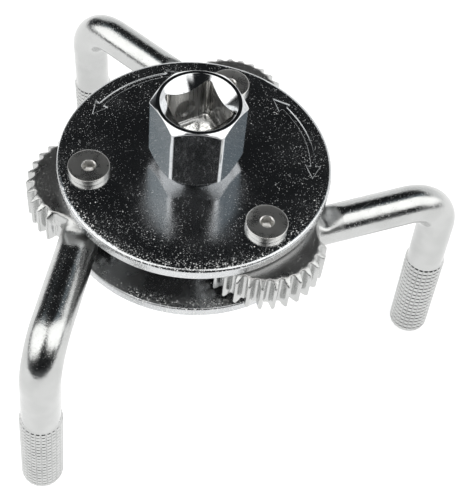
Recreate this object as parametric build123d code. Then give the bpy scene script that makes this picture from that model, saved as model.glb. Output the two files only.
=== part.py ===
from build123d import *
import math
import os

# Two-way three-jaw oil filter wrench. Millimetres, +Z up. The origin is on the drive axis,
# in the plane the three leg tips stand on. Pivots sit at 60, 180 and 300 degrees.

# ---- plates ----
plate_radius = 35.0
plate_thickness = 3.2
plate_gap = 13.3
plate_top = 65.5
plate_outer_round = 1.0
plate_inner_break = 0.3

top_plate_bottom = plate_top - plate_thickness
bottom_plate_top = top_plate_bottom - plate_gap
bottom_plate_bottom = bottom_plate_top - plate_thickness

# ---- pivots ----
pivot_radius = 27.0
pivot_azimuths = {"left": 180.0, "front": 300.0, "back": 60.0}

screw_diameter = 6.0
screw_hole_diameter = 6.2
screw_head_diameter = 10.5
screw_head_height = 1.6
screw_head_break = 0.25
screw_key_across = 3.0
screw_key_depth = 2.4
screw_key_turn = 20.0
screw_end_break = 0.8

nut_across_flats = 10.0
nut_height = 5.0
nut_bore_diameter = 6.04
nut_face_diameter = 9.4
screw_below_nut = 1.0

sleeve_diameter = 8.0
spacer_diameter = 16.0
spacer_bore_diameter = 8.1
spacer_thickness = 3.0

# ---- gears, module 1, 20 degree pressure angle ----
gear_module = 1.0
pressure_angle = math.radians(20.0)
sun_teeth = 24
jaw_teeth = 30
tooth_addendum = 0.95
tooth_dedendum = 1.25
tooth_thinning = 0.12
gear_thickness = 9.8
gear_top_clearance = 0.25
# Turning the sun by this much from a tooth on the pivot line sets the meshed rest position.
sun_turn = 2.1

gear_top = top_plate_bottom - gear_top_clearance
gear_bottom = gear_top - gear_thickness

# ---- jaws ----
jaw_bore_diameter = 8.1
jaw_rest_angle = 68.4
flat_top_radius = 13.7
bevel_radius = 16.3
bevel_drop = 1.65
trough_radius = 16.4
trough_step = 6.25
toothless_half_angle = 19.0
arm_diameter = 10.0
arm_offset = 1.5
arm_start = 7.0
arm_reach = 51.3
bend_radius = 10.8
leg_lean_out = 1.2
leg_lean_side = 2.5
grip_diameter = 11.0
grip_valley_diameter = 10.3
grip_ribs = 20
grip_top = 31.0
grip_top_break = 0.35
tip_face_diameter = 8.2
tip_break_length = 1.5
tip_overrun = 0.25

arm_height = (gear_top + gear_bottom) / 2

# ---- drive ----
hex_across_flats = 21.0
hex_bottom = plate_top + 0.6
hex_top = plate_top + 20.9
hex_top_ring_radius = 10.35
hex_top_chamfer_height = 1.45
hex_bottom_ring_radius = 8.8
hex_bottom_chamfer_height = 3.32
hex_turn = -12.0
square_across = 12.8
square_depth = 13.0
square_turn = 18.0
square_corner_round = 1.4
countersink_radius = 9.5
drill_point_angle = 118.0
detent_diameter = 5.5
detent_depth = 0.8
detent_below_top = 8.8

neck_diameter = 17.0
neck_clearance = 0.05
hub_diameter = 14.0
hub_across_flats = 12.4
hub_clearance = 0.03
journal_diameter = 12.0
journal_clearance = 0.05
journal_end = bottom_plate_bottom - 3.4
journal_end_break = 0.6

ring_thickness = 1.0
ring_gap_to_plate = 0.2
ring_groove_diameter = 11.4
ring_outer_diameter = 15.6
ring_ear_diameter = 4.4
ring_ear_hole = 1.6
ring_ear_spread = 24.0
ring_ear_radius = 8.0

thrust_washer_diameter = 22.0
thrust_washer_bore = 12.6
thrust_washer_thickness = 3.0

# ---- stamped turning arrows on the top plate ----
arrow_radius = 30.2
arrow_width = 1.3
arrow_head_length = 4.2
arrow_head_width = 3.8
arrow_depth = 0.3
arrow_arcs = [(-20.0, 36.0), (86.0, 142.0)]


def polar(radius, degrees, z=0.0):
    a = math.radians(degrees)
    return Vector(radius * math.cos(a), radius * math.sin(a), z)


def rod(diameter, z_low, z_high):
    return Pos(0, 0, z_low) * Cylinder(
        diameter / 2, z_high - z_low, align=(Align.CENTER, Align.CENTER, Align.MIN)
    )


def turned(points):
    """Solid of revolution about Z from (radius, height) points."""
    outline = Wire.make_polygon([Vector(r, 0, z) for r, z in points], close=True)
    return revolve(Face(outline), Axis.Z)


def hex_prism(across_flats, z_low, z_high, turn=0.0):
    outline = RegularPolygon(across_flats / math.sqrt(3), 6, rotation=turn)
    return Pos(0, 0, z_low) * extrude(outline, z_high - z_low)


def at_pivot(azimuth):
    return Pos(polar(pivot_radius, azimuth)) * Rot(0, 0, azimuth)


def involute(angle):
    return math.tan(angle) - angle


def tooth_half_angle(teeth, radius):
    """Half the angle a tooth covers at a radius, in degrees."""
    pitch_radius = gear_module * teeth / 2
    base_radius = pitch_radius * math.cos(pressure_angle)
    at_pitch = math.pi / (2 * teeth) - tooth_thinning / (2 * pitch_radius)
    pressure_here = math.acos(min(1.0, base_radius / radius))
    return math.degrees(at_pitch + involute(pressure_angle) - involute(pressure_here))


def gear_face(teeth, first_tooth, missing_half_angle=0.0):
    """Flat gear outline. Teeth within missing_half_angle of the +X direction are left out."""
    pitch_radius = gear_module * teeth / 2
    base_radius = pitch_radius * math.cos(pressure_angle)
    tip_radius = pitch_radius + tooth_addendum
    root_radius = pitch_radius - tooth_dedendum
    base_half = tooth_half_angle(teeth, base_radius)
    pitch_half = tooth_half_angle(teeth, pitch_radius)
    tip_half = tooth_half_angle(teeth, tip_radius)
    centres = [first_tooth + 360.0 * k / teeth for k in range(teeth)]
    centres = [c for c in centres if abs((c + 180.0) % 360.0 - 180.0) > missing_half_angle]
    edges = []
    for index, centre in enumerate(centres):
        rise = [
            polar(base_radius, centre - base_half),
            polar(pitch_radius, centre - pitch_half),
            polar(tip_radius, centre - tip_half),
        ]
        fall = [
            polar(tip_radius, centre + tip_half),
            polar(pitch_radius, centre + pitch_half),
            polar(base_radius, centre + base_half),
        ]
        foot_in = polar(root_radius, centre - base_half)
        foot_out = polar(root_radius, centre + base_half)
        edges.append(Line(foot_in, rise[0]))
        edges.append(ThreePointArc(*rise))
        edges.append(ThreePointArc(rise[2], polar(tip_radius, centre), fall[0]))
        edges.append(ThreePointArc(*fall))
        edges.append(Line(fall[2], foot_out))
        following = centres[(index + 1) % len(centres)]
        gap_end = following + (360.0 if following < centre else 0.0) - base_half
        middle = (centre + base_half + gap_end) / 2
        next_foot = polar(root_radius, gap_end)
        edges.append(ThreePointArc(foot_out, polar(root_radius, middle), next_foot))
    return Face(Wire.combine(edges)[0])


def top_plate():
    plate = rod(2 * plate_radius, top_plate_bottom, plate_top)
    plate = fillet(plate.edges().group_by(Axis.Z)[-1], plate_outer_round)
    plate = chamfer(plate.edges().group_by(Axis.Z)[0], plate_inner_break)
    plate -= rod(neck_diameter + 2 * neck_clearance, top_plate_bottom - 1, plate_top + 1)
    for azimuth in pivot_azimuths.values():
        plate -= at_pivot(azimuth) * rod(screw_hole_diameter, top_plate_bottom - 1, plate_top + 1)
    for start, end in arrow_arcs:
        plate -= turning_arrow(start, end)
    return plate


def turning_arrow(start, end):
    """Shallow curved groove with a pointed head at each end."""
    head_angle = math.degrees(arrow_head_length / arrow_radius)
    inner = arrow_radius - arrow_width / 2
    outer = arrow_radius + arrow_width / 2
    low, high, middle = start + head_angle, end - head_angle, (start + end) / 2
    wide_in = arrow_radius - arrow_head_width / 2
    wide_out = arrow_radius + arrow_head_width / 2
    edges = [
        ThreePointArc(polar(outer, low), polar(outer, middle), polar(outer, high)),
        Line(polar(outer, high), polar(wide_out, high)),
        Line(polar(wide_out, high), polar(arrow_radius, end)),
        Line(polar(arrow_radius, end), polar(wide_in, high)),
        Line(polar(wide_in, high), polar(inner, high)),
        ThreePointArc(polar(inner, high), polar(inner, middle), polar(inner, low)),
        Line(polar(inner, low), polar(wide_in, low)),
        Line(polar(wide_in, low), polar(arrow_radius, start)),
        Line(polar(arrow_radius, start), polar(wide_out, low)),
        Line(polar(wide_out, low), polar(outer, low)),
    ]
    return Pos(0, 0, plate_top - arrow_depth) * extrude(Face(Wire.combine(edges)[0]), 1.0)


def bottom_plate():
    plate = rod(2 * plate_radius, bottom_plate_bottom, bottom_plate_top)
    plate = fillet(plate.edges().group_by(Axis.Z)[0], plate_outer_round)
    plate = chamfer(plate.edges().group_by(Axis.Z)[-1], plate_inner_break)
    bore = journal_diameter + 2 * journal_clearance
    plate -= rod(bore, bottom_plate_bottom - 1, bottom_plate_top + 1)
    for azimuth in pivot_azimuths.values():
        plate -= at_pivot(azimuth) * rod(
            screw_hole_diameter, bottom_plate_bottom - 1, bottom_plate_top + 1
        )
    return plate


def pivot_screw(azimuth):
    shank_end = bottom_plate_bottom - nut_height - screw_below_nut
    head_radius = screw_head_diameter / 2
    shank_radius = screw_diameter / 2
    head_top = plate_top + screw_head_height
    screw = turned(
        [
            (0, shank_end),
            (shank_radius - screw_end_break, shank_end),
            (shank_radius, shank_end + screw_end_break),
            (shank_radius, plate_top),
            (head_radius, plate_top),
            (head_radius, head_top - screw_head_break),
            (head_radius - screw_head_break, head_top),
            (0, head_top),
        ]
    )
    screw -= hex_prism(screw_key_across, head_top - screw_key_depth, head_top + 1, screw_key_turn)
    return at_pivot(azimuth) * screw


def pivot_nut(azimuth):
    low = bottom_plate_bottom - nut_height
    corner_radius = nut_across_flats / math.sqrt(3)
    face_radius = nut_face_diameter / 2
    slope = (corner_radius - face_radius) * math.tan(math.radians(30))
    nut = hex_prism(nut_across_flats, low, bottom_plate_bottom)
    nut &= turned(
        [
            (0, low),
            (face_radius, low),
            (corner_radius, low + slope),
            (corner_radius, bottom_plate_bottom),
            (0, bottom_plate_bottom),
        ]
    )
    nut -= rod(nut_bore_diameter, low - 1, bottom_plate_bottom + 1)
    return at_pivot(azimuth) * nut


def pivot_sleeve(azimuth):
    sleeve = rod(sleeve_diameter, bottom_plate_top, top_plate_bottom)
    sleeve -= rod(screw_hole_diameter, bottom_plate_top - 1, top_plate_bottom + 1)
    return at_pivot(azimuth) * sleeve


def jaw_spacer(azimuth):
    high = bottom_plate_top + spacer_thickness
    spacer = rod(spacer_diameter, bottom_plate_top, high)
    spacer -= rod(spacer_bore_diameter, bottom_plate_top - 1, high + 1)
    return at_pivot(azimuth) * spacer


def leg_direction():
    out = math.radians(leg_lean_out)
    side = math.radians(leg_lean_side)
    return Vector(
        math.sin(out) * math.cos(side), -math.sin(side), -math.cos(out) * math.cos(side)
    )


def bent_bar():
    """Arm along +X at arm height, bent down into the leg. Returns the bar and its corner."""
    along = Vector(1, 0, 0)
    down = leg_direction()
    corner = Vector(arm_reach, arm_offset, arm_height)
    turn = math.acos(along.dot(down))
    setback = bend_radius * math.tan(turn / 2)
    bend_start = corner - along * setback
    bend_end = corner + down * setback
    towards_centre = (down - along * along.dot(down)).normalized()
    centre = bend_start + towards_centre * bend_radius
    bend_middle = centre + (corner - centre).normalized() * bend_radius
    leg_end = corner + down * (arm_height - grip_top + 2.0)
    start = Vector(arm_start, arm_offset, arm_height)
    path = Wire.combine(
        [
            Line(start, bend_start),
            ThreePointArc(bend_start, bend_middle, bend_end),
            Line(bend_end, leg_end),
        ]
    )[0]
    section = Plane(origin=start, z_dir=along) * Circle(arm_diameter / 2)
    return sweep(section, path), corner


def ribbed_grip(corner):
    """Ribbed lower end of a leg, cut level with the plane the tool stands on."""
    down = leg_direction()
    reach_top = (arm_height - grip_top) / -down.Z
    reach_end = arm_height / -down.Z + tip_overrun
    length = reach_end - reach_top
    crest = grip_diameter / 2
    valley = grip_valley_diameter / 2
    points = []
    for rib in range(grip_ribs):
        points.append(polar(crest, 360.0 * rib / grip_ribs))
        points.append(polar(valley, 360.0 * (rib + 0.5) / grip_ribs))
    grip = extrude(Face(Wire.make_polygon(points, close=True)), length)
    grip &= turned(
        [
            (0, 0),
            (crest - grip_top_break, 0),
            (crest, grip_top_break),
            (crest, length - tip_break_length),
            (tip_face_diameter / 2, length),
            (0, length),
        ]
    )
    place = Plane(origin=corner + down * reach_top, x_dir=(0, 1, 0), z_dir=down)
    return place.location * grip


def jaw(azimuth):
    """Toothed head, arm and leg in one piece, drawn with the arm along +X, then turned."""
    # Tooth gaps face the sun: half a pitch off its teeth, carried back by the gear ratio.
    pitch = 360.0 / jaw_teeth
    first_tooth = 180.0 + pitch / 2 - sun_turn * sun_teeth / jaw_teeth - jaw_rest_angle
    outline = gear_face(jaw_teeth, first_tooth, toothless_half_angle)
    head = Pos(0, 0, gear_bottom) * extrude(outline, gear_thickness)
    bar, corner = bent_bar()
    body = head + bar + ribbed_grip(corner)
    body -= turned(
        [
            (0, gear_top),
            (flat_top_radius, gear_top),
            (bevel_radius, gear_top - bevel_drop),
            (trough_radius, gear_top - bevel_drop),
            (trough_radius + trough_step, gear_top + 0.5),
            (0, gear_top + 0.5),
        ]
    )
    body -= rod(jaw_bore_diameter, gear_bottom - 1, gear_top + 1)
    below_floor = Pos(arm_reach, 0, -5) * Box(60, 60, 10)
    body -= below_floor
    return at_pivot(azimuth) * Rot(0, 0, jaw_rest_angle) * body


def drive_hex():
    corner_radius = hex_across_flats / math.sqrt(3)
    head = hex_prism(hex_across_flats, hex_bottom, hex_top, hex_turn)
    head &= turned(
        [
            (0, hex_bottom),
            (hex_bottom_ring_radius, hex_bottom),
            (corner_radius, hex_bottom + hex_bottom_chamfer_height),
            (corner_radius, hex_top - hex_top_chamfer_height),
            (hex_top_ring_radius, hex_top),
            (0, hex_top),
        ]
    )
    head += rod(neck_diameter, gear_top, hex_bottom)
    head += hub(0.0)
    head += journal()
    return head - square_socket()


def hub(extra):
    """Round bar with two flats that carries the sun gear; extra widens it into the bore."""
    core = rod(hub_diameter + 2 * extra, gear_bottom, gear_top)
    flats = Pos(0, 0, (gear_bottom + gear_top) / 2) * Box(
        hub_diameter + 4, hub_across_flats + 2 * extra, gear_thickness
    )
    return core & flats


def journal():
    groove_top = bottom_plate_bottom - ring_gap_to_plate
    groove_bottom = groove_top - ring_thickness - 0.1
    radius = journal_diameter / 2
    groove_radius = ring_groove_diameter / 2
    return turned(
        [
            (0, gear_bottom),
            (radius, gear_bottom),
            (radius, groove_top),
            (groove_radius, groove_top),
            (groove_radius, groove_bottom),
            (radius, groove_bottom),
            (radius, journal_end + journal_end_break),
            (radius - journal_end_break, journal_end),
            (0, journal_end),
        ]
    )


def square_socket():
    half = square_across / 2
    floor = hex_top - square_depth
    point_height = half / math.tan(math.radians(drill_point_angle / 2))
    square = extrude(
        RectangleRounded(square_across, square_across, square_corner_round), square_depth + 1
    )
    hole = Pos(0, 0, floor) * square
    hole += turned([(0, floor - point_height), (half, floor), (0, floor)])
    hole += turned(
        [
            (0, hex_top - countersink_radius),
            (countersink_radius, hex_top),
            (countersink_radius, hex_top + 1),
            (0, hex_top + 1),
        ]
    )
    for side in range(4):
        bump = Cylinder(detent_diameter / 2, 2 * detent_depth)
        place = Rot(0, 0, 90 * side) * Pos(half, 0, hex_top - detent_below_top) * Rot(0, 90, 0)
        hole += place * bump
    return Rot(0, 0, square_turn) * hole


def sun_gear():
    # A tooth stands sun_turn past the pivot line at 180 degrees; the others follow by symmetry.
    outline = gear_face(sun_teeth, 180.0 + sun_turn)
    gear = Pos(0, 0, gear_bottom) * extrude(outline, gear_thickness)
    return gear - hub(hub_clearance)


def drive_washer():
    high = bottom_plate_top + thrust_washer_thickness
    washer = rod(thrust_washer_diameter, bottom_plate_top, high)
    return washer - rod(thrust_washer_bore, bottom_plate_top - 1, high + 1)


def retaining_ring():
    """Snap ring with an opening and two eared ends, lying in the journal groove."""
    high = bottom_plate_bottom - ring_gap_to_plate - 0.05
    low = high - ring_thickness
    ring = rod(ring_outer_diameter, low, high)
    for side in (-1, 1):
        ear = Pos(polar(ring_ear_radius, side * ring_ear_spread)) * rod(ring_ear_diameter, low, high)
        ring += ear
    ring -= rod(ring_groove_diameter + 0.06, low - 1, high + 1)
    for side in (-1, 1):
        ear_hole = rod(ring_ear_hole, low - 1, high + 1)
        ring -= Pos(polar(ring_ear_radius, side * ring_ear_spread)) * ear_hole
    opening = Pos(ring_outer_diameter / 2, 0, (low + high) / 2) * Box(ring_outer_diameter, 2.6, 4)
    return ring - opening


def save(shape, name):
    export_step(shape, os.path.join("parts", name + ".step"))


os.makedirs("parts", exist_ok=True)
save(top_plate(), "top_plate")
save(bottom_plate(), "bottom_plate")
save(drive_hex(), "drive_hex")
save(sun_gear(), "sun_gear")
save(drive_washer(), "drive_washer")
save(retaining_ring(), "retaining_ring")
for side, pivot_azimuth in pivot_azimuths.items():
    save(jaw(pivot_azimuth), side + "_jaw")
    save(pivot_screw(pivot_azimuth), side + "_pivot_screw")
    save(pivot_nut(pivot_azimuth), side + "_pivot_nut")
    save(pivot_sleeve(pivot_azimuth), side + "_pivot_sleeve")
    save(jaw_spacer(pivot_azimuth), side + "_jaw_spacer")
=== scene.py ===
import math

import bmesh
import bpy
import numpy as np
from mathutils import Matrix, Vector


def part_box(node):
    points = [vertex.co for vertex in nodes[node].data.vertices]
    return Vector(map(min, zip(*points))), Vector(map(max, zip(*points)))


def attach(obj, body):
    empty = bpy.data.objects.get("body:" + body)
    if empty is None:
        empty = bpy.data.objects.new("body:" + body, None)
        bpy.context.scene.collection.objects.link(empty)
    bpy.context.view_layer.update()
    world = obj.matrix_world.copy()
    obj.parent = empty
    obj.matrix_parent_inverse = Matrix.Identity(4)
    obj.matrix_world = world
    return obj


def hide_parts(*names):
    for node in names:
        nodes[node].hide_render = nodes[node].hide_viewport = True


# Three-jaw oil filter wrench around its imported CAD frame. Lengths in the helper
# functions are millimetres; meshes are scaled to metres when they are made.

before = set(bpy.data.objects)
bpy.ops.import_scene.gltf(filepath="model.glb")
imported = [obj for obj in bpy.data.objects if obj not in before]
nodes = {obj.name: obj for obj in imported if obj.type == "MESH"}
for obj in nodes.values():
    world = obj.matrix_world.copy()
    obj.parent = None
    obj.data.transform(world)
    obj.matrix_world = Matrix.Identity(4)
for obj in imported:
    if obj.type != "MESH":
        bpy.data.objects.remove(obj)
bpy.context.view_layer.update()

MM = 0.001
SIDES = {"left": 180.0, "front": 300.0, "back": 60.0}

# ---- heights and sizes shared with the CAD parts ----
PLATE_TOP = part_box("top_plate")[1].z / MM
BOTTOM_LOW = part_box("bottom_plate")[0].z / MM
GEAR_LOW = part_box("sun_gear")[0].z / MM
GEAR_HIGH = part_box("sun_gear")[1].z / MM
HEX_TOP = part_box("drive_hex")[1].z / MM
DRIVE_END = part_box("drive_hex")[0].z / MM
PIVOT_RADIUS = 27.0

HEX_APOTHEM = 10.5
HEX_CORNER_ROUND = 1.25
HEX_TURN = 18.0
HEX_LOW = PLATE_TOP + 0.6
HEX_TOP_RING = 10.35
HEX_TOP_CHAMFER = 1.45
HEX_BOTTOM_RING = 8.8
NECK_RADIUS = 8.5
HUB_RADIUS = 7.0
HUB_FLAT = 6.2
JOURNAL_RADIUS = 6.0
GROOVE_RADIUS = 5.7
SQUARE_APOTHEM = 6.4
SQUARE_CORNER_ROUND = 1.4
SQUARE_TURN = 18.0
SQUARE_DEPTH = 13.0
MOUTH_RADIUS = 9.5
DETENT_BELOW_TOP = 8.8
DETENT_RADIUS = 2.75
DETENT_DEPTH = 0.8
DRILL_HALF_ANGLE = math.radians(59)

SCREW_RADIUS = 3.0
HEAD_RADIUS = 5.25
HEAD_HEIGHT = 1.6
KEY_APOTHEM = 1.5
KEY_MOUTH = 1.85
NUT_APOTHEM = 5.0
NUT_BORE = 3.02
NUT_HEIGHT = 5.0
NUT_FACE = 4.6


# ---------------------------------------------------------------- mesh helpers
def make_object(name, verts, faces, smooth=True):
    mesh = bpy.data.meshes.new(name)
    mesh.from_pydata([tuple(v) for v in verts], [], faces)
    mesh.validate()
    bm = bmesh.new()
    bm.from_mesh(mesh)
    bmesh.ops.recalc_face_normals(bm, faces=bm.faces)
    bm.to_mesh(mesh)
    bm.free()
    if smooth:
        mesh.shade_smooth()
    piece = bpy.data.objects.new(name, mesh)
    bpy.context.scene.collection.objects.link(piece)
    return piece


def polygon_radius(angles, sides, apothem, corner, turn):
    """Radius of a regular polygon with rounded corners, in the given directions."""
    sector = 2 * math.pi / sides
    half = sector / 2
    phi = (angles - math.radians(turn) + half) % sector - half
    flat = apothem / np.cos(phi)
    centre = (apothem - corner) / math.cos(half)
    delta = half - np.abs(phi)
    inside = corner**2 - (centre * np.sin(delta)) ** 2
    arc = centre * np.cos(delta) + np.sqrt(np.maximum(inside, 0.0))
    straight = (apothem - corner) * math.tan(half)
    on_arc = apothem * np.tan(np.abs(phi)) > straight
    return np.where(on_arc & (inside > 0), arc, flat)


def rounded(points, radii, steps=4):
    """Turns the corners of a profile into arcs. points is a list of (radius, height)
    pairs of arrays, one value for each direction; radii gives each corner's arc."""
    pts = [np.stack(np.broadcast_arrays(*p), -1).astype(float) for p in points]
    out = [pts[0]]
    for i in range(1, len(pts) - 1):
        corner = pts[i]
        if radii[i] <= 0:
            out.append(corner)
            continue
        back = pts[i - 1] - corner
        ahead = pts[i + 1] - corner
        len_back = np.linalg.norm(back, axis=-1, keepdims=True)
        len_ahead = np.linalg.norm(ahead, axis=-1, keepdims=True)
        back = back / np.maximum(len_back, 1e-9)
        ahead = ahead / np.maximum(len_ahead, 1e-9)
        cosine = np.clip((back * ahead).sum(-1, keepdims=True), -0.99999, 0.99999)
        half = np.arccos(cosine) / 2
        reach = np.minimum(radii[i] / np.tan(half), 0.45 * np.minimum(len_back, len_ahead))
        for k in range(steps + 1):
            u = k / steps
            # a quadratic curve between the two tangent points, near to a circle's arc
            a = corner + back * reach
            b = corner + ahead * reach
            out.append((1 - u) ** 2 * a + 2 * u * (1 - u) * corner + u**2 * b)
    out.append(pts[-1])
    return out


def all_round(angles, points):
    """Profile points with their plain numbers repeated for every direction."""
    zero = np.zeros_like(angles)
    return [(zero + radius, zero + height) for radius, height in points]


def turned_shape(name, angles, profile, closed=False):
    """Mesh from a profile that may differ in each direction round the Z axis."""
    count = len(angles)
    cosine, sine = np.cos(angles), np.sin(angles)
    verts, rows = [], []
    for index, row in enumerate(profile):
        row = np.broadcast_to(row, (count, 2))
        on_axis = not closed and index in (0, len(profile) - 1) and row[:, 0].max() < 1e-6
        if on_axis:
            rows.append([len(verts)] * count)
            verts.append((0.0, 0.0, float(row[0, 1])))
        else:
            rows.append(list(range(len(verts), len(verts) + count)))
            verts.extend(zip(row[:, 0] * cosine, row[:, 0] * sine, row[:, 1]))
    faces = []
    pairs = list(zip(rows[:-1], rows[1:]))
    if closed:
        pairs.append((rows[-1], rows[0]))
    for low, high in pairs:
        for k in range(count):
            n = (k + 1) % count
            ring = [low[k], low[n], high[n], high[k]]
            face = [v for j, v in enumerate(ring) if v != ring[j - 1]]
            if len(face) >= 3:
                faces.append(face)
    return make_object(name, np.array(verts) * MM, faces)


def weighted_normals(piece):
    mod = piece.modifiers.new("face weighted normals", "WEIGHTED_NORMAL")
    mod.mode = "FACE_AREA"
    mod.weight = 80
    mod.keep_sharp = True


def stand_at_pivot(piece, azimuth):
    a = math.radians(azimuth)
    place = Vector((PIVOT_RADIUS * math.cos(a), PIVOT_RADIUS * math.sin(a), 0)) * MM
    piece.data.transform(Matrix.Translation(place) @ Matrix.Rotation(a, 4, "Z"))


# ---------------------------------------------------------------- materials
class Graph:
    """Short names for building a node tree."""

    def __init__(self, tree):
        self.tree = tree

    def link(self, a, b):
        self.tree.links.new(a, b)

    def add(self, kind, *inputs, **values):
        """A new node with its first inputs linked or set, and others set by name."""
        node = self.tree.nodes.new(kind)
        for socket, value in zip(node.inputs, inputs):
            self.feed(socket, value)
        for name, value in values.items():
            self.feed(node.inputs[name.replace("_", " ")], value)
        return node

    def feed(self, socket, value):
        if isinstance(value, bpy.types.NodeSocket):
            self.link(value, socket)
        elif value is not None:
            socket.default_value = value

    def span(self, value, low, high, to_low=0.0, to_high=1.0):
        """Smooth step from to_low at low to to_high at high; low may be above high."""
        node = self.tree.nodes.new("ShaderNodeMapRange")
        node.interpolation_type = "SMOOTHSTEP"
        if low > high:
            low, high, to_low, to_high = high, low, to_high, to_low
        for socket, number in zip(list(node.inputs)[1:5], (low, high, to_low, to_high)):
            socket.default_value = number
        self.link(value, node.inputs["Value"])
        return node.outputs[0]

    def math(self, kind, a, b=None):
        node = self.tree.nodes.new("ShaderNodeMath")
        node.operation = kind
        self.feed(node.inputs[0], a)
        self.feed(node.inputs[1], b)
        return node.outputs[0]

    def product(self, *values):
        total = values[0]
        for value in values[1:]:
            total = self.math("MULTIPLY", total, value)
        return total

    def mix(self, factor, a, b):
        node = self.tree.nodes.new("ShaderNodeMix")
        node.data_type = "RGBA"
        self.feed(node.inputs["Factor"], factor)
        for socket, value in ((node.inputs[6], a), (node.inputs[7], b)):
            self.feed(socket, (*value, 1) if isinstance(value, tuple) else value)
        return node.outputs[2]


class Nodes(Graph):
    """A metal or paper material being built; texture sizes are millimetres."""

    def __init__(self, name, colour, metallic=1.0):
        self.mat = bpy.data.materials.new(name)
        self.mat.use_nodes = True
        super().__init__(self.mat.node_tree)
        self.shader = self.tree.nodes["Principled BSDF"]
        self.shader.inputs["Metallic"].default_value = metallic
        self.shader.inputs["Base Color"].default_value = (*colour, 1)
        self.coord = self.tree.nodes.new("ShaderNodeTexCoord").outputs["Object"]

    def scaled(self, stretch=(1, 1, 1)):
        """Object coordinates in millimetres, stretched."""
        node = self.tree.nodes.new("ShaderNodeMapping")
        node.inputs["Scale"].default_value = [s / MM for s in stretch]
        self.link(self.coord, node.inputs["Vector"])
        return node.outputs[0]

    def noise(self, size, detail=3.0, rough=0.55, vector=None):
        node = self.tree.nodes.new("ShaderNodeTexNoise")
        node.inputs["Scale"].default_value = 1.0 / size
        node.inputs["Detail"].default_value = detail
        node.inputs["Roughness"].default_value = rough
        self.link(vector or self.scaled(), node.inputs["Vector"])
        return node.outputs["Fac"]

    def cells(self, size, vector=None):
        node = self.tree.nodes.new("ShaderNodeTexVoronoi")
        node.inputs["Scale"].default_value = 1.0 / size
        self.link(vector or self.scaled(), node.inputs["Vector"])
        return node

    def specks(self, size, share, dot=0.34, edge=0.2):
        """Round dots of differing strength in a random share of cells of this size."""
        cell = self.cells(size)
        dots = self.span(cell.outputs["Distance"], dot, dot - edge)
        split = self.add("ShaderNodeSeparateColor", cell.outputs["Color"])
        keep = self.math("GREATER_THAN", split.outputs[0], 1.0 - share)
        bright = self.math("POWER", split.outputs[1], 3.0)
        return self.product(dots, keep, self.span(bright, 0.0, 1.0, 0.12, 1.0))

    def bump(self, height, depth, below=None):
        """Bump of the given depth in millimetres, over an earlier bump."""
        node = self.tree.nodes.new("ShaderNodeBump")
        node.inputs["Distance"].default_value = depth * MM
        self.link(height, node.inputs["Height"])
        if below is not None:
            self.link(below, node.inputs["Normal"])
        return node.outputs[0]

    def finish(self, colour=None, roughness=None, normal=None):
        sockets = ("Base Color", "Roughness", "Normal")
        for name, value in zip(sockets, (colour, roughness, normal)):
            if value is not None:
                self.link(value, self.shader.inputs[name])
        return self.mat


def pits_of(n, share):
    """Pin-point pits of two sizes, denser in some places than in others."""
    patch = n.span(n.noise(5.0, 3.0, 0.6), 0.3, 0.72, 0.4, 1.15)
    small = n.specks(0.3, share, 0.4, 0.18)
    large = n.specks(0.62, share * 0.24, 0.34, 0.1)
    return n.product(n.math("MAXIMUM", small, large), patch)


def scratches(n, size, share):
    """Fine straight scratches in two crossing directions."""
    lines = []
    for stretch in ((0.05, 1.9, 1.0), (1.7, 0.06, 1.0)):
        cell = n.cells(size, n.scaled(stretch))
        split = n.add("ShaderNodeSeparateColor", cell.outputs["Color"])
        keep = n.math("GREATER_THAN", split.outputs[0], 1.0 - share)
        lines.append(n.product(n.span(cell.outputs["Distance"], 0.12, 0.04), keep))
    return n.math("MAXIMUM", *lines)


def plate_plating(name, rough, share):
    """Bright plated sheet: dark mirror with an orange peel that scatters it, pits that
    gather towards the rim, bright rim specks painted as glints only on the side facing
    the camera, and light scratches."""
    colour = (0.60, 0.61, 0.62)
    n = Nodes(name, colour)
    axes = n.add("ShaderNodeSeparateXYZ", n.coord).outputs
    squares = [n.product(axis, axis) for axis in axes[:2]]
    radius = n.math("SQRT", n.math("ADD", *squares))
    across = n.math("ADD", n.product(axes[0], 0.3), axes[1])
    # painted glints: this mask keeps the extra bright rim specks to the side facing the camera,
    # where the light catches them
    camera_side_glint = n.span(across, 0.005, -0.03)
    rim = n.product(n.span(radius, 0.0308, 0.0336), camera_side_glint)
    cloud = n.noise(9.0, 3.0, 0.5)
    pits = n.product(pits_of(n, share), n.span(radius, 0.012, 0.032, 0.45, 1.1))
    # near-white rim specks on the camera side only: painted glints, not wear
    pits = n.math("MAXIMUM", pits, n.product(n.specks(0.4, 0.95, 0.5, 0.16), rim, 1.4))
    marks = scratches(n, 2.2, 0.06)
    tone = n.mix(n.span(cloud, 0.3, 0.7), colour, (0.53, 0.54, 0.55))
    tone = n.mix(pits, tone, (0.97, 0.97, 0.96))
    base = n.span(cloud, 0.3, 0.75, rough * 0.8, rough * 1.25)
    worn = n.math("ADD", n.product(pits, 0.78), n.product(marks, 0.12))
    peel = n.bump(n.noise(0.42, 5.0, 0.68), 0.012)
    relief = n.bump(pits, 0.012, n.bump(marks, 0.004, peel))
    return n.finish(tone, n.math("ADD", base, worn), relief)


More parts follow.
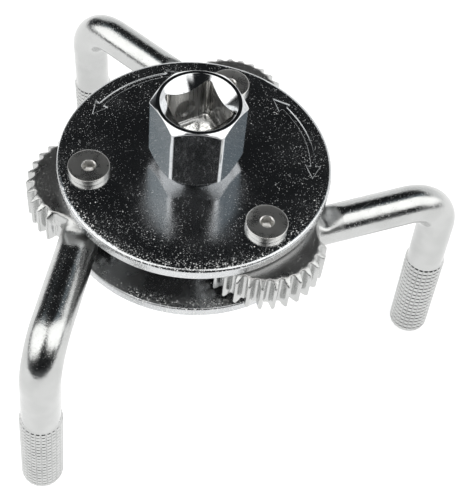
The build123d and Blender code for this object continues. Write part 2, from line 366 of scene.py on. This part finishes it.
def chrome_plating():
    """Polished chrome of the drive, with handling marks and a fine mottled film."""
    colour = (0.70, 0.71, 0.72)
    n = Nodes("chrome_drive", colour)
    film = n.span(n.noise(0.55, 6.0, 0.75, n.scaled((0.6, 0.6, 1.4))), 0.42, 0.64)
    cloud = n.noise(7.0, 3.0, 0.5)
    pits = n.specks(0.42, 0.06, 0.26, 0.16)
    tone = n.mix(n.product(film, 0.5), colour, (0.44, 0.45, 0.47))
    tone = n.mix(n.product(pits, 0.6), tone, (0.85, 0.85, 0.84))
    marks = scratches(n, 1.8, 0.05)
    base = n.math("ADD", n.span(cloud, 0.3, 0.75, 0.06, 0.11), n.product(film, 0.06))
    worn = n.math("ADD", n.product(pits, 0.3), n.product(marks, 0.1))
    peel = n.bump(n.noise(0.35, 4.0, 0.6), 0.003)
    return n.finish(tone, n.math("ADD", base, worn), n.bump(pits, 0.012, peel))


def socket_finish(name, dark, light, rough, relief):
    """Broached walls of the square socket, streaked from top to bottom."""
    n = Nodes(name, light)
    lay = n.noise(0.6, 5.0, 0.6, n.scaled((1, 1, 0.05)))
    cloud = n.noise(2.5, 3.0, 0.55)
    tone = n.mix(n.span(lay, 0.36, 0.66), dark, light)
    tone = n.mix(n.span(cloud, 0.4, 0.7, 0.0, 0.3), tone, tuple(c * 0.6 for c in dark))
    roughness = n.span(lay, 0.3, 0.7, rough * 0.8, rough * 1.2)
    return n.finish(tone, roughness, n.bump(lay, relief))


def jaw_plating():
    """Plated forging: smooth and bright, sandy and uneven along the top of the arm, dull
    and grainy on the flat round the pivot, and darker in the cuts of the grip."""
    colour = (0.545, 0.55, 0.545)
    n = Nodes("jaw_plating", colour)
    height = n.add("ShaderNodeSeparateXYZ", n.coord).outputs[2]
    recess, root = (n.add("ShaderNodeAttribute") for _ in range(2))
    recess.attribute_name, root.attribute_name = "recess", "root"
    root = root.outputs["Fac"]
    flat = n.span(height, 0.0617, 0.0619)
    head = n.product(n.span(height, 0.0592, 0.0606), root)
    upper = n.span(height, 0.0535, 0.0595)
    cloud = n.noise(6.0, 3.0, 0.5)
    patch = n.span(n.noise(2.6, 3.0, 0.6), 0.35, 0.65, 0.45, 1.0)
    rough_skin = n.math("MAXIMUM", n.product(upper, patch), root)
    sand = n.math("MAXIMUM", n.specks(0.28, 0.8, 0.42, 0.2), n.specks(0.55, 0.3, 0.36, 0.14))
    sand = n.product(sand, rough_skin)
    black = n.product(n.specks(0.6, 0.3, 0.32, 0.1), head)
    # the colour is made darker in the cuts of the grip, following the recess attribute
    groove_darkening = n.span(recess.outputs["Fac"], 0.2, 1.0)
    tone = n.mix(n.span(cloud, 0.3, 0.7), colour, (0.50, 0.505, 0.50))
    tone = n.mix(n.product(flat, root, 0.85), tone, (0.35, 0.345, 0.34))
    tone = n.mix(n.product(black, 0.8), tone, (0.10, 0.095, 0.09))
    tone = n.mix(n.product(sand, 0.6), tone, (0.8, 0.79, 0.77))
    tone = n.mix(n.product(groove_darkening, 0.4), tone, (0.22, 0.225, 0.22))
    base = n.span(cloud, 0.3, 0.75, 0.15, 0.21)
    worn = n.math("ADD", n.product(sand, 0.34), n.product(root, 0.12))
    swell = n.bump(n.noise(3.4, 2.0, 0.5), 0.05)
    grain = n.noise(0.5, 5.0, 0.7)
    relief = n.mix(rough_skin, n.bump(grain, 0.003, swell), n.bump(grain, 0.045, swell))
    relief = n.bump(n.math("MAXIMUM", sand, black), 0.015, relief)
    return n.finish(tone, n.math("ADD", base, worn), relief)


def plain_metal(name, colour, rough, grain=0.3, depth=0.004, stretch=(1, 1, 1), stain=0.82):
    """Machined or ground steel with a fine grain, stretched along its lay."""
    n = Nodes(name, colour)
    lay = n.noise(grain, 4.0, 0.6, n.scaled(stretch))
    cloud = n.noise(4.0, 3.0, 0.55)
    tone = n.mix(n.span(cloud, 0.35, 0.7), colour, tuple(c * stain for c in colour))
    tone = n.mix(n.span(lay, 0.45, 0.75, 0.0, 0.35), tone, tuple(c * 0.6 for c in colour))
    roughness = n.math("ADD", n.span(cloud, 0.3, 0.7, rough * 0.8, rough * 1.2),
                       n.span(lay, 0.4, 0.7, 0.0, 0.08))
    return n.finish(tone, roughness, n.bump(lay, depth))


PLATE = plate_plating("plate_plating", 0.17, 0.55)
LOWER_PLATE = plate_plating("lower_plate_plating", 0.26, 0.15)
CHROME = chrome_plating()
SOCKET = socket_finish("drive_socket", (0.40, 0.40, 0.395), (0.58, 0.58, 0.575), 0.3, 0.006)
# a near-white copy of the socket finish for the square's corners and the drill point: painted
# highlight
SOCKET_PAINTED_HIGHLIGHT = socket_finish("drive_socket_painted_highlight", (0.42, 0.415, 0.40), (0.97, 0.96, 0.94),
                              0.16, 0.05)
JAW = jaw_plating()
SCREW = plain_metal("screw_head_plating", (0.72, 0.71, 0.69), 0.27, 0.22, 0.006)
KEY_SOCKET = plain_metal("screw_key_socket", (0.70, 0.69, 0.67), 0.36, 0.3, 0.01)
NUT = plain_metal("nut_zinc", (0.62, 0.63, 0.64), 0.32)
GEAR = plain_metal("gear_steel", (0.50, 0.50, 0.49), 0.3, stretch=(1, 1, 0.15))
WASHER = plain_metal("washer_steel", (0.55, 0.55, 0.54), 0.28)
SLEEVE = plain_metal("sleeve_steel", (0.57, 0.57, 0.56), 0.25, stretch=(0.15, 0.15, 1))
SPRING = plain_metal("spring_steel", (0.12, 0.12, 0.125), 0.35)


def paint(piece, material):
    piece.data.materials.clear()
    piece.data.materials.append(material)


def paint_cad(name, material):
    """Gives a CAD node a new material without touching its mesh data."""
    node = nodes[name]
    if not node.material_slots:
        node.data.materials.append(material)
    for slot in node.material_slots:
        slot.link = "OBJECT"
        slot.material = material


def soft_edges(node, width):
    """Small rounded breaks on a CAD node's sharp edges, as modifiers."""
    weld = node.modifiers.new("weld", "WELD")
    weld.merge_threshold = 0.000005
    bevel = node.modifiers.new("edge break", "BEVEL")
    bevel.width = width * MM
    bevel.segments = 3
    bevel.limit_method = "ANGLE"
    bevel.angle_limit = math.radians(40)
    bevel.harden_normals = False
    weighted_normals(node)


# ---------------------------------------------------------------- drive hex
def drive_hex():
    angles = np.linspace(0, 2 * math.pi, 600, endpoint=False)
    outer = polygon_radius(angles, 6, HEX_APOTHEM, HEX_CORNER_ROUND, HEX_TURN)
    corner = 2 * HEX_APOTHEM / math.sqrt(3)
    low, high = HEX_LOW, HEX_TOP
    low_side = low + outer - HEX_BOTTOM_RING
    high_side = high - (outer - HEX_TOP_RING) * HEX_TOP_CHAMFER / (corner - HEX_TOP_RING)
    hub = np.minimum(HUB_RADIUS, HUB_FLAT / np.maximum(np.abs(np.sin(angles)), 1e-6))
    ring_top = BOTTOM_LOW - 0.2
    ring_low = ring_top - 1.1
    wall = square_wall(angles)
    floor = high - SQUARE_DEPTH
    mouth = high - (MOUTH_RADIUS - wall)
    points = all_round(angles, [
        (0.0, DRIVE_END), (JOURNAL_RADIUS - 0.6, DRIVE_END), (JOURNAL_RADIUS, DRIVE_END + 0.6),
        (JOURNAL_RADIUS, ring_low), (GROOVE_RADIUS, ring_low),
        (GROOVE_RADIUS, ring_top), (JOURNAL_RADIUS, ring_top),
        (JOURNAL_RADIUS, GEAR_LOW), (hub, GEAR_LOW), (hub, GEAR_HIGH), (NECK_RADIUS, GEAR_HIGH),
        (NECK_RADIUS, low), (HEX_BOTTOM_RING, low), (outer, low_side), (outer, high_side),
        (HEX_TOP_RING, high), (MOUTH_RADIUS, high), (wall, mouth), (wall, floor),
    ])
    radii = [0, 0.1, 0.1, 0.03, 0.05, 0.05, 0.03, 0.05, 0.05, 0.1, 0.1, 0.1, 0.1, 0.26, 0.3,
             0.16, 0.14, 0.2, 0]
    profile = rounded(points, radii)
    top_of_wall = profile[-2]
    rows = [detent_row(angles, top_of_wall, floor + 0.35, k / 40) for k in range(1, 41)]
    profile = profile[:-1] + rows
    for share, rise in ((1.0, 0.1), (0.94, 0.0), (0.86, 0.0)):
        profile.append(np.stack([wall * share, np.full_like(angles, floor + rise)], -1))
    cone = SQUARE_APOTHEM / math.tan(DRILL_HALF_ANGLE)
    for share in (0.97, 0.9, 0.6, 0.3, 0.1):
        radius = np.minimum(SQUARE_APOTHEM * share, wall * 0.86 * share)
        profile.append(np.stack([radius, floor - cone * (1 - radius / SQUARE_APOTHEM)], -1))
    profile.append(np.stack([angles * 0, angles * 0 + floor - cone], -1))
    piece = turned_shape("drive_hex_body", angles, profile)
    weighted_normals(piece)
    for material in (CHROME, SOCKET, SOCKET_PAINTED_HIGHLIGHT):
        piece.data.materials.append(material)
    for face in piece.data.polygons:
        x, y, z = (v / MM for v in face.center)
        radius = math.hypot(x, y)
        if radius < 9.0 and floor - cone - 0.1 < z < high - 0.5 - (9.0 - radius):
            # the square's corners and the drill point get the near-white socket copy, a painted
            # highlight
            in_corner_or_drill_point = radius > 7.75 or z < floor - 0.5
            face.material_index = 2 if in_corner_or_drill_point else 1
    return piece


def square_wall(angles):
    return polygon_radius(angles, 4, SQUARE_APOTHEM, SQUARE_CORNER_ROUND, SQUARE_TURN)


def detent_row(angles, top, low, share):
    """One row of the socket wall between its mouth and floor, with the ball dimples."""
    z = top[:, 1] * (1 - share) + low * share
    sector = math.pi / 2
    phi = (angles - math.radians(SQUARE_TURN) + sector / 2) % sector - sector / 2
    wall = square_wall(angles)
    along = wall * np.sin(phi)
    away = np.hypot(along, z - (HEX_TOP - DETENT_BELOW_TOP))
    depth = DETENT_DEPTH * np.clip((DETENT_RADIUS - away) / 0.9, 0, 1) ** 0.7
    return np.stack([wall + depth / np.maximum(np.cos(phi), 0.7), z], -1)


# ---------------------------------------------------------------- screws and nuts
def pivot_screw(side, azimuth):
    angles = np.linspace(0, 2 * math.pi, 180, endpoint=False)
    head = PLATE_TOP + HEAD_HEIGHT
    end = BOTTOM_LOW - NUT_HEIGHT - 1.0
    key = polygon_radius(angles, 6, KEY_APOTHEM, 0.1, 20.0)
    rise = head - (KEY_MOUTH - key)
    points = all_round(angles, [
        (0.0, end), (SCREW_RADIUS - 0.8, end), (SCREW_RADIUS, end + 0.8),
        (SCREW_RADIUS, end + 2.0), (SCREW_RADIUS, PLATE_TOP), (HEAD_RADIUS, PLATE_TOP),
        (HEAD_RADIUS, head), (KEY_MOUTH, head), (key, rise), (key, head - 2.2),
        (key * 0.9, head - 2.4), (0.0, head - 3.1),
    ])
    radii = [0, 0.1, 0.2, 0, 0.05, 0.08, 0.22, 0.06, 0.05, 0.1, 0.05, 0]
    piece = turned_shape(side + "_screw", angles, rounded(points, radii))
    for material in (SCREW, KEY_SOCKET):
        piece.data.materials.append(material)
    for face in piece.data.polygons:
        x, y, z = (v / MM for v in face.center)
        face.material_index = int(math.hypot(x, y) < KEY_MOUTH and z > PLATE_TOP - 2)
    stand_at_pivot(piece, azimuth)
    weighted_normals(piece)
    return piece


def pivot_nut(side, azimuth):
    angles = np.linspace(0, 2 * math.pi, 240, endpoint=False)
    low, high = BOTTOM_LOW - NUT_HEIGHT, BOTTOM_LOW
    outer = polygon_radius(angles, 6, NUT_APOTHEM, 0.25, 30.0)
    slope = math.tan(math.radians(30))
    points = all_round(angles, [
        (NUT_BORE, high), (NUT_BORE, low + 0.5), (3.4, low), (NUT_FACE, low),
        (outer, low + (outer - NUT_FACE) * slope), (outer, high - 0.05), (4.9, high),
        (NUT_BORE, high),
    ])
    radii = [0, 0.1, 0.08, 0.1, 0.15, 0.02, 0.02, 0]
    profile = rounded(points, radii)[:-1]
    piece = turned_shape(side + "_nut", angles, profile, closed=True)
    stand_at_pivot(piece, azimuth)
    weighted_normals(piece)
    return piece


# ---------------------------------------------------------------- jaws
JAW_TURN = 68.4
ARM_REACH = 51.3
ARM_OFFSET = 1.5
ARM_HEIGHT = (GEAR_LOW + GEAR_HIGH) / 2
LEAN_OUT = math.radians(1.2)
LEAN_SIDE = math.radians(2.5)
LEG_DOWN = np.array([math.sin(LEAN_OUT) * math.cos(LEAN_SIDE), -math.sin(LEAN_SIDE),
                     -math.cos(LEAN_OUT) * math.cos(LEAN_SIDE)])
GRIP_TOP = 31.0
GRIP_CREST = 5.46
GRIP_END_BREAK = 1.3
RIBS = 24
KNURL_PITCH = 1.65
KNURL_DEPTH = 0.3
HEAD_REACH = 16.3
SKIN_VOXEL = 0.26
SKIN_PASSES = 7
ROOT_PASSES = 26


def neighbour_average(co, edges, weight):
    """One pass of smoothing: each point moves towards the mean of its neighbours."""
    total = np.zeros_like(co)
    count = np.zeros(len(co))
    for a, b in ((0, 1), (1, 0)):
        for axis in range(3):
            total[:, axis] += np.bincount(edges[:, a], co[edges[:, b], axis], len(co))
        count += np.bincount(edges[:, a], minlength=len(co))
    mean = total / np.maximum(count, 1)[:, None]
    return co + (mean - co) * weight[:, None]


def jaw_frame(azimuth):
    """Matrix from a jaw's own axes, arm along +X and pivot at the origin, to the tool."""
    a = math.radians(azimuth)
    place = Matrix.Translation((PIVOT_RADIUS * math.cos(a), PIVOT_RADIUS * math.sin(a), 0))
    return place @ Matrix.Rotation(a + math.radians(JAW_TURN), 4, "Z")


def mesh_arrays(mesh):
    co = np.zeros(len(mesh.vertices) * 3)
    mesh.vertices.foreach_get("co", co)
    edges = np.zeros(len(mesh.edges) * 2, np.int64)
    mesh.edges.foreach_get("vertices", edges)
    return co.reshape(-1, 3), edges.reshape(-1, 2)


def forged_jaw():
    """The jaw in its own axes, in millimetres, with its edges worn round as forged."""
    source = nodes["left_jaw"].data.copy()
    source.transform((jaw_frame(SIDES["left"]).inverted()) @ Matrix.Scale(1 / MM, 4))
    work = bpy.data.objects.new("jaw_work", source)
    bpy.context.scene.collection.objects.link(work)
    remesh = work.modifiers.new("skin", "REMESH")
    remesh.mode = "VOXEL"
    remesh.voxel_size = SKIN_VOXEL
    graph = bpy.context.evaluated_depsgraph_get()
    mesh = bpy.data.meshes.new_from_object(work.evaluated_get(graph))
    bpy.data.objects.remove(work)
    bpy.data.meshes.remove(source)
    co, edges = mesh_arrays(mesh)
    x, y, z = co.T
    toothed = np.hypot(x, y) < HEAD_REACH
    root = (x > 12.5) & (x < 26.0) & (np.abs(y) < 9.0) & (z > ARM_HEIGHT)
    weight = np.where(toothed, 0.22, 0.5)
    for _ in range(SKIN_PASSES):
        co = neighbour_average(co, edges, weight)
    weight = np.where(root, 0.5, 0.0)
    for _ in range(ROOT_PASSES):
        co = neighbour_average(co, edges, weight)
    mesh.vertices.foreach_set("co", co.ravel())
    bm = bmesh.new()
    bm.from_mesh(mesh)
    grip = [e for e in bm.edges
            if max(v.co.z for v in e.verts) < GRIP_TOP + 0.6 and e.verts[0].co.x > 20]
    bmesh.ops.subdivide_edges(bm, edges=grip, cuts=1, use_grid_fill=True)
    bm.to_mesh(mesh)
    bm.free()
    co, recess = shape_grip(mesh_arrays(mesh)[0])
    mesh.vertices.foreach_set("co", co.ravel())
    mesh.attributes.new("recess", "FLOAT", "POINT").data.foreach_set("value", recess)
    reach = np.hypot(co[:, 0], co[:, 1])
    upper = np.clip(co[:, 2] - ARM_HEIGHT - 1.5, 0, 1)
    root = (np.clip((21.2 - reach) / 0.5, 0, 1) * upper).astype(np.float32)
    mesh.attributes.new("root", "FLOAT", "POINT").data.foreach_set("value", root)
    mesh.update()
    return mesh


def shape_grip(co):
    """Presses the ribs and the small cross cuts into the gripping end of the leg."""
    corner = np.array([ARM_REACH, ARM_OFFSET, ARM_HEIGHT])
    from_corner = co - corner
    along = from_corner @ LEG_DOWN
    start = (ARM_HEIGHT - GRIP_TOP) / -LEG_DOWN[2]
    length = ARM_HEIGHT / -LEG_DOWN[2] - start
    s = along - start
    radial = from_corner - along[:, None] * LEG_DOWN
    radius = np.linalg.norm(radial, axis=1)
    side = np.cross(LEG_DOWN, [0.0, 1.0, 0.0])
    side /= np.linalg.norm(side)
    other = np.cross(LEG_DOWN, side)
    angle = np.arctan2(radial @ other, radial @ side)
    rib = np.abs(np.sin(angle * RIBS / 2))
    row = np.abs(np.sin(math.pi * s / KNURL_PITCH))
    groove = np.maximum(np.clip(1 - rib / 0.55, 0, 1), 0.9 * np.clip(1 - row / 0.6, 0, 1))
    crest = GRIP_CREST - KNURL_DEPTH * groove
    end = length - GRIP_END_BREAK
    edge = np.clip(s / 0.5, 0, 1) * np.clip((end - s) / 0.5, 0, 1)
    inside = (s > 0) & (s < end) & (radius > 4.0) & (radius < 7.0)
    target = crest * edge + (1 - edge) * radius
    scale = np.where(inside, target / np.maximum(radius, 1e-6), 1.0)
    recess = np.where(inside, groove * edge, 0.0)
    pressed = corner + along[:, None] * LEG_DOWN + radial * scale[:, None]
    return pressed, recess.astype(np.float32)


def make_jaws():
    shape = forged_jaw()
    for side, azimuth in SIDES.items():
        mesh = shape.copy()
        mesh.transform(Matrix.Scale(MM, 4) @ jaw_frame(azimuth))
        mesh.shade_smooth()
        piece = bpy.data.objects.new(side + "_jaw_forging", mesh)
        bpy.context.scene.collection.objects.link(piece)
        paint(piece, JAW)
        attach(piece, side + "_jaw_body")
        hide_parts(side + "_jaw")
    bpy.data.meshes.remove(shape)


# ---------------------------------------------------------------- studio
VIEW_AZIMUTH = math.radians(76.5)
FLOOR_GLOW = 0.86
DARK_ROOM = (0.010, 0.011, 0.012)
NEAR_FLOOR = (0.12, 0.125, 0.13)
BACK_WALL = (1.02, 1.03, 1.03)
LEFT_CARD = (0.27, 0.32, 0.345)
RIGHT_CARD = (0.21, 0.255, 0.285)
SOFT_BOX = (1.9, 1.9, 1.88)


def make_sky():
    """A dark room with a white wall behind the tool, two dim cards high up behind it for
    the sides of the hex, and two large soft boxes overhead, one on each side of the
    camera. Headings are from the viewing direction, left positive; z is the height of a
    direction on the unit sphere."""
    world = bpy.data.worlds.new("studio")
    bpy.context.scene.world = world
    world.use_nodes = True
    g = Graph(world.node_tree)
    axes = g.add("ShaderNodeSeparateXYZ", g.add("ShaderNodeTexCoord").outputs["Generated"])
    x, y, z = axes.outputs
    ahead = (math.cos(VIEW_AZIMUTH), math.sin(VIEW_AZIMUTH))
    forward = g.math("ADD", g.product(x, ahead[0]), g.product(y, ahead[1]))
    left = g.math("SUBTRACT", g.product(y, ahead[0]), g.product(x, ahead[1]))
    heading = g.math("ARCTAN2", left, forward)

    def patch(start, end, soft, low, high, low_soft=0.05, high_soft=0.05):
        """1 inside a window of headings in degrees and heights, fading at its edges."""
        return g.product(
            g.span(heading, math.radians(start - soft), math.radians(start + soft)),
            g.span(heading, math.radians(end + soft), math.radians(end - soft)),
            g.span(z, low - low_soft, low + low_soft),
            g.span(z, high + high_soft, high - high_soft))

    light = g.mix(g.span(z, 0.3, 0.02), DARK_ROOM, NEAR_FLOOR)
    light = g.mix(patch(-86, 27, 8, -0.2, 0.49), light, BACK_WALL)
    light = g.mix(patch(48, 73, 7, 0.62, 0.93), light, LEFT_CARD)
    light = g.mix(patch(-73, -46, 7, 0.62, 0.93), light, RIGHT_CARD)
    boxes = ((69, 118, 0.2), (69, 136, 0.41), (69, 151, 0.57), (69, 160, 0.82),
             (-114, -69, 0.18), (-134, -69, 0.5), (-152, -69, 0.7), (-160, -69, 0.85))
    for start, end, low in boxes:
        light = g.mix(patch(start, end, 5, low, 1.2), light, SOFT_BOX)
    g.link(light, world.node_tree.nodes["Background"].inputs["Color"])


def make_floor():
    size = 4.0
    corners = [(-size, -size, 0), (size, -size, 0), (size, size, 0), (-size, size, 0)]
    mesh = bpy.data.meshes.new("floor")
    mesh.from_pydata(corners, [], [(0, 1, 2, 3)])
    floor = bpy.data.objects.new("floor", mesh)
    floor.location.z = -0.0002
    bpy.context.scene.collection.objects.link(floor)
    n = Nodes("floor_paper", (0.42, 0.42, 0.42), 0.0)
    n.shader.inputs["Roughness"].default_value = 0.9
    n.shader.inputs["Emission Color"].default_value = (1, 1, 1, 1)
    n.shader.inputs["Emission Strength"].default_value = FLOOR_GLOW
    grain = n.span(n.noise(1.5, 3.0, 0.6), 0.3, 0.7)
    n.finish(n.mix(grain, (0.43, 0.43, 0.43), (0.41, 0.41, 0.41)))
    mesh.materials.append(n.mat)


def make_studio():
    bpy.context.scene.view_settings.view_transform = "Standard"
    make_sky()
    make_floor()


def make_camera():
    data = bpy.data.cameras.new("camera")
    data.lens = 79.75
    data.sensor_width = 36.0
    data.clip_start = 0.01
    data.clip_end = 20.0
    camera = bpy.data.objects.new("camera", data)
    camera.location = (-0.042718, -0.178414, 0.280241)
    camera.rotation_euler = [math.radians(a) for a in (35.777, -4.307, -11.261)]
    bpy.context.scene.collection.objects.link(camera)
    bpy.context.scene.camera = camera


# ---------------------------------------------------------------- put together
make_camera()
make_studio()

hex_piece = drive_hex()
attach(hex_piece, "drive")
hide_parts("drive_hex")

for side, azimuth in SIDES.items():
    screw = pivot_screw(side, azimuth)
    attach(screw, "frame")
    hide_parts(side + "_pivot_screw")
    nut = pivot_nut(side, azimuth)
    paint(nut, NUT)
    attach(nut, "frame")
    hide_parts(side + "_pivot_nut")
    paint_cad(side + "_pivot_sleeve", SLEEVE)
    paint_cad(side + "_jaw_spacer", WASHER)

make_jaws()

for name in ("top_plate", "bottom_plate"):
    soft_edges(nodes[name], 0.14)
for name, material in (("top_plate", PLATE), ("bottom_plate", LOWER_PLATE), ("sun_gear", GEAR),
                       ("drive_washer", WASHER), ("retaining_ring", SPRING)):
    paint_cad(name, material)
